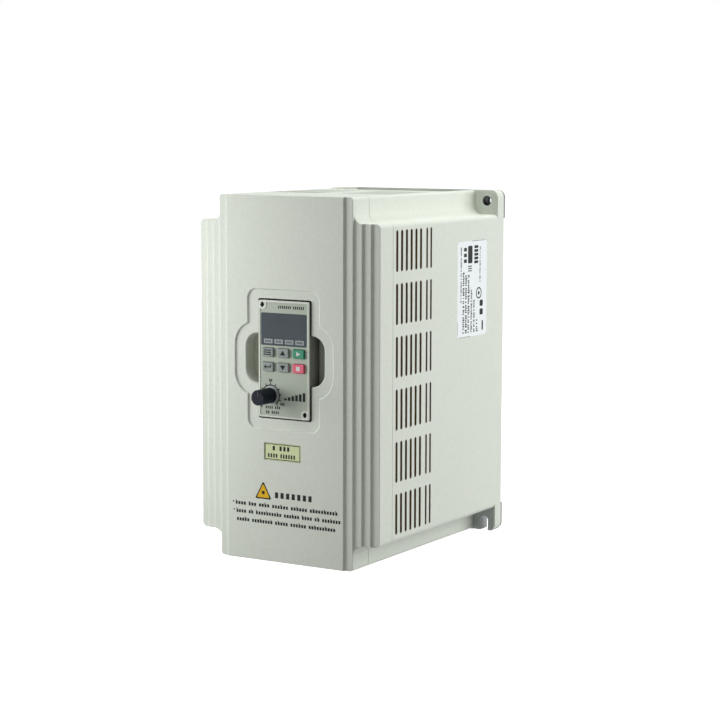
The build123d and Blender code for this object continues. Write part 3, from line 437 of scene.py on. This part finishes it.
def inner_materials():
    """Finishes of what shows when the cover is off."""
    copper = (0.50, 0.18, 0.05)
    return {
        "board_green": circuit_board("board_green"),
        "module_case": surface("module_case", (0.70, 0.67, 0.58), 0.5),
        "thermal_pad": surface("thermal_pad", (0.5, 0.5, 0.54), 0.7, 900.0, 0.00005, 0.08),
        "capacitor_sleeve": surface("capacitor_sleeve", (0.02, 0.035, 0.09), 0.22, 700.0,
                                    vary=0.1),
        "relay_case": surface("relay_case", (0.03, 0.10, 0.42), 0.3, vary=0.06),
        "choke_winding": banded("choke_winding", tinted(copper, 0.35), copper, 160.0, 1.2, 0.0004,
                                0.25),
        "film_yellow": surface("film_yellow", (0.72, 0.50, 0.05), 0.3, vary=0.06),
        "varistor_blue": surface("varistor_blue", (0.03, 0.12, 0.45), 0.4, 500.0, 0.00008, 0.1),
        "transformer_tape": surface("transformer_tape", (0.60, 0.50, 0.08), 0.3, 400.0, 0.00006,
                                    0.1),
        "sensor_black": surface("sensor_black", (0.02, 0.02, 0.02), 0.45, vary=0.2),
        "terminal_black": surface("terminal_black", (0.022, 0.022, 0.024), 0.42, vary=0.2),
        "terminal_green": surface("terminal_green", (0.03, 0.32, 0.11), 0.38, vary=0.06),
        "tray_plastic": surface("tray_plastic", (0.07, 0.07, 0.075), 0.5, vary=0.1),
        "standoff_brass": surface("standoff_brass", (0.70, 0.50, 0.20), 0.28, metal=1.0,
                                  vary=0.1),
        "ribbon_grey": banded("ribbon_grey", (0.22, 0.22, 0.22), (0.46, 0.46, 0.45), 125.0, 0.0,
                              0.0003, 0.4),
    }


MATERIALS = {**case_materials(), **keypad_materials(), **inner_materials()}
OWN_FINISH = {
    "front_cover": "cover_plastic",
    # The keypad's rear part takes the painted shade above.
    "keypad_back": "keypad_rear_shade",
    "keypad_screws": "pad_screw",
}


def dress_nodes():
    """Give every CAD node the finish of its material slot, or its own."""
    slots = {part["node"]: part["material_slot"] for part in frame["record"]["subparts"]}
    for name, node in frame["nodes"].items():
        node.data.materials.clear()
        node.data.materials.append(MATERIALS[OWN_FINISH.get(name, slots[name])])


# ---------------------------------------------------------------- mesh helpers
def prism(built, outline, low, high, place):
    """Closed prism between two levels; place turns (u, v, level) into a point."""
    bottom = [built.verts.new(place(u, v, low)) for u, v in outline]
    top = [built.verts.new(place(u, v, high)) for u, v in outline]
    built.faces.new(bottom)
    built.faces.new(list(reversed(top)))
    for i in range(len(outline)):
        j = (i + 1) % len(outline)
        built.faces.new((bottom[i], top[i], top[j], bottom[j]))


def band(built, outer, inner, low, high, place):
    """Closed solid between two loops of equal length, such as a ring or a frame."""
    levels = ((outer, low), (outer, high), (inner, high), (inner, low))
    loops = [[built.verts.new(place(u, v, level)) for u, v in loop] for loop, level in levels]
    for near, far in zip(loops, loops[1:] + loops[:1]):
        for i in range(len(near)):
            j = (i + 1) % len(near)
            built.faces.new((near[i], near[j], far[j], far[i]))


def on_front(u, v, level):
    """X-Z outline in millimetres; the level is in metres, out towards -Y."""
    return Vector((u * MM, -level, v * MM))


def on_side(u, v, level):
    """Y-Z outline in millimetres; the level is in metres, out towards +X."""
    return Vector((level, u * MM, v * MM))


def decal(name, outlines, level, place, material, body, thick=INK):
    """Printed shapes as thin solids, from just inside a surface to just proud of it.
    An outline is a list of points, or a pair of loops for a ring or a frame."""
    built = bmesh.new()
    for outline in outlines:
        if isinstance(outline, tuple):
            band(built, *outline, level - INK, level + thick, place)
        else:
            prism(built, outline, level - INK, level + thick, place)
    bmesh.ops.recalc_face_normals(built, faces=built.faces)
    mesh = bpy.data.meshes.new(name)
    built.to_mesh(mesh)
    built.free()
    mesh.materials.append(MATERIALS[material])
    made = bpy.data.objects.new(name, mesh)
    bpy.context.scene.collection.objects.link(made)
    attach(made, body)


def bar(x0, x1, z0, z1):
    """Outline of a rectangle."""
    return [(x0, z0), (x1, z0), (x1, z1), (x0, z1)]


def arc_points(x, z, radius, start, end, count):
    """Points on an arc, both ends included; the angles are in degrees."""
    turns = [math.radians(start + (end - start) * i / (count - 1)) for i in range(count)]
    return [(x + radius * math.cos(t), z + radius * math.sin(t)) for t in turns]


def disc(x, z, radius, count=24):
    return arc_points(x, z, radius, 0, 360 - 360 / count, count)


def ring(x, z, inner, outer, count=48):
    """The two loops of a full ring."""
    return disc(x, z, outer, count), disc(x, z, inner, count)


def part_ring(x, z, inner, outer, start, end, count):
    """Outline of a ring that is open on one side."""
    points = arc_points(x, z, outer, start, end, count + 1)
    return points + arc_points(x, z, inner, end, start, count + 1)


def rounded_bar(x0, x1, z0, z1, radius):
    """Outline of a rectangle with rounded corners."""
    spots = [(x1 - radius, z1 - radius, 0), (x0 + radius, z1 - radius, 90)]
    spots += [(x0 + radius, z0 + radius, 180), (x1 - radius, z0 + radius, 270)]
    return [p for x, z, a in spots for p in arc_points(x, z, radius, a, a + 90, 4)]


def rounded_triangle(x, z, half, height, radius):
    """Upright triangle with rounded corners, standing on z."""
    slope = math.degrees(math.atan2(height, half))
    inset = radius / math.tan(math.radians(slope / 2))
    top_drop = radius / math.cos(math.radians(slope))
    points = arc_points(x, z + height - top_drop, radius, 90 + slope, 90 - slope, 7)
    points += arc_points(x + half - inset, z + radius, radius, 90 - slope, -90, 7)
    return points + arc_points(x - half + inset, z + radius, radius, 270, 90 + slope, 7)


def greek_line(words, x0, x1, base, height, capitals=False):
    """Blocks and stems that stand for a line of print; words holds each word's length."""
    space = 0.8
    block, small = (0.56, 1.0) if capitals else (0.7, 0.72)
    pitch = (x1 - x0) / (sum(words) + space * (len(words) - 1) - 0.3)
    blocks = []
    left = x0
    for word, length in enumerate(words):
        for i in range(length):
            right, top = left + pitch * block, base + height * small
            if not capitals and (i * 5 + length + word) % 4 == 0:
                stem = left + pitch * 0.3
                blocks.append([(left, base), (right, base), (right, top), (stem, top),
                               (stem, base + height), (left, base + height)])
            else:
                blocks.append(bar(left, right, base, top))
            left += pitch
        left += space * pitch
    return blocks


# ---------------------------------------------------------------- front cover print
def cover_print():
    """Plain three-sided sign with a dot, and lines of blocks in place of words. Each layer
    of the sign stands a little prouder than the one under it."""
    level = -PANEL_Y
    sign_x, sign_z = -18.0, 44.6
    decal("sign_border", [rounded_triangle(sign_x, sign_z, 7.1, 12.9, 0.9)], level, on_front,
          "ink_dark", "front_cover", INK * 0.7)
    decal("sign_field", [rounded_triangle(sign_x, sign_z + 1.0, 5.5, 10.0, 0.5)], level, on_front,
          "sign_yellow", "front_cover", INK * 1.2)
    decal("sign_dot", [disc(sign_x, sign_z + 4.6, 1.3)], level, on_front, "ink_dark",
          "front_cover", INK * 1.8)
    lines = greek_line([7], -8.0, 23.4, 46.2, 4.2, True)
    lines += greek_line([4, 3, 4, 6, 6, 10], -41.8, 44.0, 38.8, 3.1)
    lines += greek_line([4, 2, 10, 6, 4, 2, 7], -41.2, 46.4, 33.0, 3.1)
    lines += greek_line([5, 8, 5, 6, 10], -40.8, 42.2, 27.0, 3.1)
    lines += [disc(-43.8, 40.6, 0.6, 10), disc(-43.2, 34.8, 0.6, 10)]
    decal("print_lines", lines, level, on_front, "ink_dark", "front_cover")


def inset_print():
    """Thin frame and two lines of blocks on the inset plate."""
    low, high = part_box("inset_plate")
    x0, x1, z0, z1 = (v / MM for v in (low.x, high.x, low.z, high.z))
    gap, line = 0.35, 0.5
    outer, inner = (bar(x0 + d, x1 - d, z0 + d, z1 - d) for d in (gap, gap + line))
    shapes = [(outer, inner)]
    shapes += greek_line([1, 3], x0 + 7.0, x1 - 9.0, z1 - 5.0, 3.2, True)
    shapes += greek_line([4, 6], x0 + 3.0, x1 - 4.4, z0 + 1.8, 2.9, True)
    decal("inset_print", shapes, -low.y, on_front, "ink_dark", "front_cover")


# ---------------------------------------------------------------- keypad print
def dial_ticks(x, z, near, far, sweep, count):
    """Radial marks round a dial, from -sweep to +sweep about the top."""
    half_width = 0.36
    marks = []
    for i in range(count):
        turn = math.radians(90 + sweep - i * sweep * 2 / (count - 1))
        out = Vector((math.cos(turn), math.sin(turn)))
        side = Vector((-out.y, out.x)) * half_width
        points = [out * near - side, out * far - side, out * far + side, out * near + side]
        marks.append([(x + p.x, z + p.y) for p in points])
    return marks


def keypad_print():
    """Dial round the knob, its numbers, rising speed bars and lines of blocks."""
    level = -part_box("keypad_overlay")[0].y
    x, z = KNOB_X / MM, KNOB_Z / MM
    skirt = 6.9
    decal("dial_skirt", [disc(x, z, skirt, 40)], level, on_front, "ink_pale", "keypad", INK * 0.6)
    shapes = [part_ring(x, z, skirt, 7.7, -50, 230, 48)]
    shapes += dial_ticks(x, z, 7.6, 9.1, 140, 11)
    shapes += greek_line([7, 6], -4.6, 16.9, 181.3, 2.0, True)
    shapes += greek_line([4, 3], -15.4, -3.0, 110.0, 2.0, True)
    shapes += greek_line([2, 4], -15.0, -4.2, 106.5, 2.0, True)
    decal("dial_print", shapes, level, on_front, "ink_dark", "keypad")
    rising = [bar(0.2 + 3.1 * i, 2.3 + 3.1 * i, 116.8, 118.2 + 0.95 * i) for i in range(6)]
    decal("speed_bars", rising, level, on_front, "ink_dark", "keypad")
    dial_number("number_middle", "50", x, z + 10.6, level)
    dial_number("number_high", "100", x + 9.7, z - 5.9, level)
    dial_number("number_low", "0", x - 7.6, z - 8.0, level)


def dial_number(name, digits, x, z, level):
    """Number on the speed dial, as a thin solid."""
    text = bpy.data.curves.new(name, "FONT")
    text.body = digits
    text.align_x = "CENTER"
    text.align_y = "CENTER"
    text.size = 2.7 * MM
    text.extrude = INK
    text.offset = 0.0001
    holder = bpy.data.objects.new(name + "_source", text)
    bpy.context.scene.collection.objects.link(holder)
    place = Matrix.Translation((x * MM, -level, z * MM))
    holder.matrix_world = place @ Matrix.Rotation(math.pi / 2, 4, "X")
    bpy.context.view_layer.update()
    seen = holder.evaluated_get(bpy.context.evaluated_depsgraph_get())
    mesh = bpy.data.meshes.new_from_object(seen)
    mesh.transform(holder.matrix_world)
    bpy.data.objects.remove(holder)
    mesh.name = name
    mesh.materials.clear()
    mesh.materials.append(MATERIALS["ink_dark"])
    made = bpy.data.objects.new(name, mesh)
    bpy.context.scene.collection.objects.link(made)
    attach(made, "keypad")


def key_symbols(x, z):
    """Plain symbols in place of words, with the ink of each, round a key's centre."""
    lines = [bar(x - 3.1, x + 3.1, z + rise, z + rise + 0.8) for rise in (-1.9, -0.4, 1.1)]
    hooked_arrow = [
        (x - 3.1, z - 0.05), (x - 1.2, z - 1.6), (x - 1.2, z - 0.45),
        (x + 3.0, z - 0.45), (x + 3.0, z + 1.8), (x + 2.2, z + 1.8),
        (x + 2.2, z + 0.35), (x - 1.2, z + 0.35), (x - 1.2, z + 1.5),
    ]
    up = [(x - 2.3, z - 1.6), (x + 2.3, z - 1.6), (x, z + 1.8)]
    down = [(x - 2.3, z + 1.6), (x, z - 1.8), (x + 2.3, z + 1.6)]
    play = [(x - 1.3, z - 1.7), (x + 1.9, z), (x - 1.3, z + 1.7)]
    square = bar(x - 1.5, x + 1.5, z - 1.5, z + 1.5)
    return {
        "mode_key": ("ink_dark", lines),
        "enter_key": ("ink_dark", [hooked_arrow]),
        "up_key": ("ink_dark", [up]),
        "down_key": ("ink_dark", [down]),
        "run_key": ("white_ink_and_highlight", [play]),
        "stop_key": ("white_ink_and_highlight", [square]),
    }


def key_print():
    """One symbol on each key; it rides on that key."""
    for node in ("mode_key", "enter_key", "up_key", "down_key", "run_key", "stop_key"):
        low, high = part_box(node)
        x, z = (low.x + high.x) / 2 / MM, (low.z + high.z) / 2 / MM
        ink, shapes = key_symbols(x, z)[node]
        decal(node + "_mark", shapes, -low.y, on_front, ink, node)


def led_print():
    """A word of blocks on each of the four lamp labels."""
    low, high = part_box("led_labels")
    z = (low.z + high.z) / 2 / MM
    pitch, half_word, letter = 8.75, 2.4, 1.6
    shapes = []
    for i, letters in enumerate((3, 4, 4, 4)):
        x = (low.x + high.x) / 2 / MM + (i - 1.5) * pitch
        shapes += greek_line([letters], x - half_word, x + half_word, z - letter / 2, letter, True)
    decal("led_label_print", shapes, -low.y, on_front, "soft_ink_and_edge_shadow", "keypad", 0.00004)


def knob_pointer():
    """Light line at the bottom of the groove in the knob's face."""
    x, z = KNOB_X / MM, KNOB_Z / MM
    groove_level = -KNOB_LOW.y - 0.0003
    decal("knob_line", [bar(x - 0.3, x + 0.3, z + 0.7, z + 4.6)], groove_level, on_front,
          "pointer_grey", "knob", 0.0001)


def screw_highlights():
    """Painted highlight: a bright arc on one side of each keypad screw hole."""
    level = -PAD_LOW.y
    for name, (x, z) in KEYPAD_SCREWS.items():
        rim = [part_ring(x, z, 1.45, 2.0, -70, 60, 14)]
        decal("screw_highlight_" + name, rim, level, on_front, "white_ink_and_highlight", "keypad")


def lug_highlights():
    """Painted highlight: a bright ring round each upper wall hole, on its bevel."""
    level = -FLANGE_Y
    for name, side in (("left", -1), ("right", 1)):
        rim = [ring(side * WALL_HOLE_X / MM, WALL_HOLE_Z / MM, 4.0, 4.7)]
        decal("hole_highlight_" + name, rim, level, on_front, "white_ink_and_highlight", "case")


# ---------------------------------------------------------------- side label
def text_column(rng, u, width, v0, v1, coarse):
    """A line of print that runs up the label, as blocks with small gaps and some wider ones."""
    gaps = (0.35, 0.35, 0.35, 1.2)
    blocks = []
    v = v0
    while v < v1:
        run = rng.uniform(0.5, 1.0) * coarse
        blocks.append(bar(u, u + width * rng.choice((0.75, 1.0)), v, min(v + run, v1)))
        v += run + coarse * rng.choice(gaps)
    return blocks


def side_label_print():
    """Generic contents of a rating label turned on its side: text lines, bars and plain marks."""
    low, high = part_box("side_label")
    u0, v0, v1 = low.y / MM, low.z / MM, high.z / MM
    rng = random.Random(11)
    dark, soft = [], []
    dark.append(rounded_bar(u0 + 15.8, u0 + 22.6, v1 - 16.5, v1 - 3.6, 1.0))
    for i in range(3):
        dark.append(bar(u0 + 9.6, u0 + 13.8, v1 - 15.8 + 4.2 * i, v1 - 13.2 + 4.2 * i))
    for i in range(5):
        dark.append(bar(u0 + 25.6, u0 + 31.6, v1 - 16.9 + 2.8 * i, v1 - 14.9 + 2.8 * i))
    for i in range(3):
        soft.append(bar(u0 + 16.2, u0 + 21.6, v1 - 22.4 + 1.7 * i, v1 - 21.6 + 1.7 * i))
    soft += text_column(rng, u0 + 34.0, 1.6, v1 - 31.0, v1 - 4.5, 0.9)
    mark_u, mark_v = u0 + 33.0, v0 + 31.5
    dark.append(ring(mark_u, mark_v, 3.3, 4.3))
    dark.append(disc(mark_u, mark_v, 1.4))
    for v in (v0 + 15.0, v0 + 21.5):
        dark.append(rounded_bar(u0 + 34.5, u0 + 39.5, v, v + 4.6, 1.0))
    dark.append(bar(u0 + 38.0, u0 + 40.0, v0 + 3.5, v0 + 10.5))
    soft += text_column(rng, u0 + 4.6, 1.8, v0 + 26.0, v1 - 4.0, 1.0)
    columns = ((8.0, 2.4, 48.0, 1.3), (11.8, 2.6, 46.0, 1.4), (15.8, 2.6, 46.0, 1.2))
    for u, wide, end, coarse in columns:
        dark += text_column(rng, u0 + u, wide, v0 + 3.0, v0 + end, coarse)
    for u, end in ((20.4, 36.0), (24.6, 27.0)):
        soft += text_column(rng, u0 + u, 2.2, v0 + 3.0, v0 + end, 1.1)
    soft += text_column(rng, u0 + 29.0, 2.6, v0 + 3.0, v0 + 12.0, 1.3)
    decal("side_label_marks", dark, high.x, on_side, "ink_dark", "case")
    decal("side_label_text", soft, high.x, on_side, "ink_dark", "case", INK * 0.8)
    # Painted shadow: thin dark lines along parts of the label's edges.
    near, far = 0.1, 0.4
    shaded_edges = [
        bar(u0 + 2, u0 + 20, v0 + near, v0 + far),
        bar(u0 + near, u0 + far, v0 + 2, v0 + 12),
        bar(u0 + 22, u0 + 42.5, v1 - far, v1 - near),
    ]
    decal("side_label_edge_shadow", shaded_edges, high.x, on_side, "soft_ink_and_edge_shadow", "case", INK * 0.6)


# ---------------------------------------------------------------- stage
def floor():
    """Pale floor; it doesn't bounce light back, as on a studio table lit from above."""
    built = bmesh.new()
    bmesh.ops.create_circle(built, cap_ends=True, segments=96, radius=FLOOR_RADIUS)
    mesh = bpy.data.meshes.new("floor")
    built.to_mesh(mesh)
    built.free()
    made, nodes, links, shader = new_material("floor_white")
    cloud = noise(nodes, links, mapped(nodes, links), 1.5)
    tone = ramp(nodes, links, cloud, [(0.3, (0.93, 0.93, 0.93)), (0.7, (0.95, 0.95, 0.95))])
    links.new(tone, shader.inputs["Base Color"])
    shader.inputs["Roughness"].default_value = 0.9
    shader.inputs["Specular IOR Level"].default_value = 0.1
    shader.inputs["Emission Color"].default_value = (1, 1, 1, 1)
    shader.inputs["Emission Strength"].default_value = FLOOR_GLOW
    mesh.materials.append(made)
    ground = bpy.data.objects.new("floor", mesh)
    ground.visible_diffuse = False
    ground.location.z = cad_low.z - 0.0002
    bpy.context.scene.collection.objects.link(ground)


def world():
    """White backdrop that lights the object less than it shows."""
    made = bpy.data.worlds.new("studio")
    made.use_nodes = True
    nodes, links = made.node_tree.nodes, made.node_tree.links
    shown = nodes["Background"]
    shown.inputs["Color"].default_value = (1, 1, 1, 1)
    shown.inputs["Strength"].default_value = WORLD_SHOWN
    light = nodes.new("ShaderNodeBackground")
    light.inputs["Color"].default_value = (1, 1, 1, 1)
    light.inputs["Strength"].default_value = WORLD_LIGHT
    path = nodes.new("ShaderNodeLightPath")
    choose = nodes.new("ShaderNodeMixShader")
    links.new(path.outputs["Is Camera Ray"], choose.inputs["Fac"])
    links.new(light.outputs["Background"], choose.inputs[1])
    links.new(shown.outputs["Background"], choose.inputs[2])
    links.new(choose.outputs["Shader"], nodes["World Output"].inputs["Surface"])
    bpy.context.scene.world = made


def softbox(name, place, target, size, power):
    """Rectangular studio light at a place, turned to its target."""
    light = bpy.data.lights.new(name, "AREA")
    light.shape = "RECTANGLE"
    light.size, light.size_y = size
    light.energy = power
    lamp = bpy.data.objects.new(name, light)
    bpy.context.scene.collection.objects.link(lamp)
    lamp.location = place
    lamp.rotation_mode = "QUATERNION"
    aim = Vector(target) - Vector(place)
    lamp.rotation_quaternion = aim.to_track_quat("-Z", "Y")
    lamp.visible_camera = False


def lights():
    """Two close keys from the left, a broad light from the right rear, and one overhead."""
    softbox("key_near", (-0.32, -0.32, 0.24), (-0.02, -0.09, 0.15), (0.14, 0.26), 0.84)
    softbox("key_low", (-0.42, -0.24, 0.12), (-0.02, -0.09, 0.13), (0.14, 0.26), 1.02)
    softbox("side_right", (0.95, 0.50, 0.30), (0.07, 0.0, 0.13), (0.9, 0.9), 9.3)
    softbox("overhead", (0.0, 0.1, 1.1), (0.0, 0.0, 0.2), (0.9, 0.9), 8.35)


def camera():
    """The viewing angle of a catalogue shot: from the right, slightly above, long lens."""
    view = bpy.data.cameras.new("camera")
    view.sensor_width = 36.0
    view.lens = 100.57
    view.clip_start = 0.05
    eye = bpy.data.objects.new("camera", view)
    bpy.context.scene.collection.objects.link(eye)
    eye.location = (0.77153, -1.25633, 0.31133)
    eye.rotation_euler = (math.radians(83.2402), math.radians(-0.0997), math.radians(31.2408))
    bpy.context.scene.camera = eye


def main():
    bpy.context.scene.view_settings.view_transform = "Standard"
    camera()
    world()
    lights()
    floor()
    dress_nodes()
    cover_print()
    inset_print()
    keypad_print()
    key_print()
    led_print()
    knob_pointer()
    screw_highlights()
    lug_highlights()
    side_label_print()


main()
